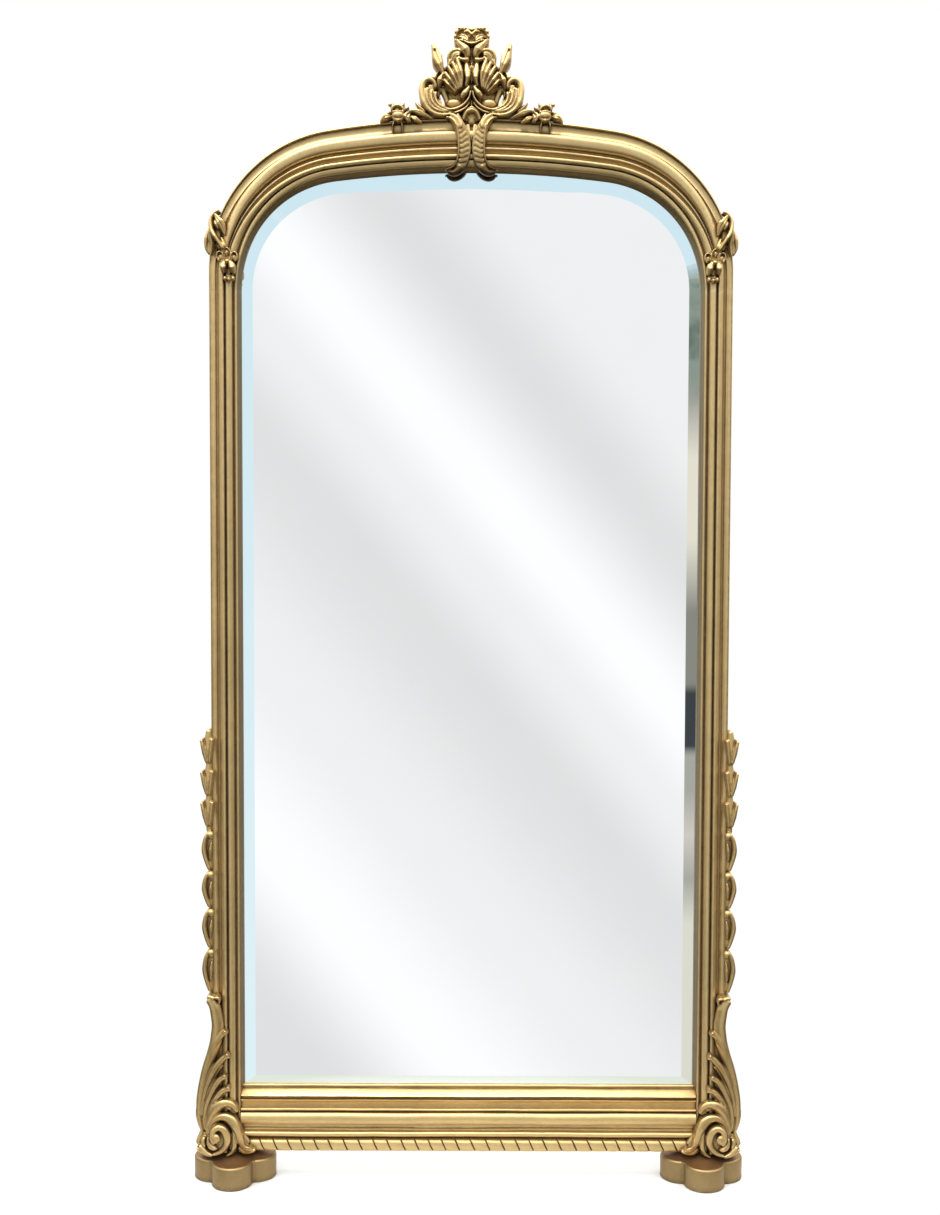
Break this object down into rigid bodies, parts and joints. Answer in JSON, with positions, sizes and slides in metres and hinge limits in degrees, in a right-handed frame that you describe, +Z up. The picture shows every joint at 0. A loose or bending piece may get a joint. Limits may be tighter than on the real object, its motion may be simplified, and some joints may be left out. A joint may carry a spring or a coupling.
{
  "type": "floor mirror",
  "caption": "Arched full-length floor mirror with bevelled glass in a gilt carved wood frame, crest, corner scrolls and lobed block feet.",
  "frame": {"origin": "on the floor, midway between the two feet, in the plane through both feet's centres", "axes": "+Z up, -Y towards the viewer in front of the glass, +X to that viewer's right"},
  "size_m": [1.022, 0.152, 2.1],
  "materials": {
    "gilt_frame": "antique gold gilding on carved wood with brown patina in the grooves",
    "gilt_carving": "antique gold gilding on carving, burnished on the high points and dark in the hollows",
    "gilt_feet": "antique gold paint on turned and sawn wood, satin",
    "mirror_silver": "silvered glass with a ground and polished bevel",
    "back_board": "raw plywood",
    "strip_wood": "planed softwood",
    "zinc_steel": "zinc plated"
  },
  "bodies": {
    "frame": {"bottom_rail": "gilt_frame", "rope_moulding": "gilt_frame", "mirror_glass": "mirror_silver", "back_panel": "back_board", "glazing_strip_left": "strip_wood", "glazing_strip_right": "strip_wood", "glazing_strip_bottom": "strip_wood", "glazing_strip_top": "strip_wood", "rail_dowels": "strip_wood", "stile_splines": "strip_wood", "crest_dowels": "strip_wood", "crown_spline": "strip_wood", "foot_bolts": "zinc_steel", "crest_centre": "gilt_carving", "hanger_screws": "zinc_steel", "stile_left": "gilt_frame", "arch_left": "gilt_frame", "foot_left": "gilt_feet", "crest_scroll_left": "gilt_carving", "crest_strap_left": "gilt_carving", "rose_spray_left": "gilt_carving", "corner_leaf_left": "gilt_carving", "corner_drop_left": "gilt_carving", "husk_chain_left": "gilt_carving", "acanthus_scroll_left": "gilt_carving", "hanger_plate_left": "zinc_steel", "stile_right": "gilt_frame", "arch_right": "gilt_frame", "foot_right": "gilt_feet", "crest_scroll_right": "gilt_carving", "crest_strap_right": "gilt_carving", "rose_spray_right": "gilt_carving", "corner_leaf_right": "gilt_carving", "corner_drop_right": "gilt_carving", "husk_chain_right": "gilt_carving", "acanthus_scroll_right": "gilt_carving", "hanger_plate_right": "zinc_steel"},
    "ring_left": {"hanger_ring_left": "zinc_steel"},
    "ring_right": {"hanger_ring_right": "zinc_steel"}
  },
  "joints": [
    {"name": "ring_left_swing", "type": "hinge", "parent": "frame", "child": "ring_left", "pos_m": [-0.45, 0.03208, 1.5], "axis": [1, 0, 0], "range_deg": [0, 165]},
    {"name": "ring_right_swing", "type": "hinge", "parent": "frame", "child": "ring_right", "pos_m": [0.45, 0.03208, 1.5], "axis": [1, 0, 0], "range_deg": [0, 165]}
  ]
}
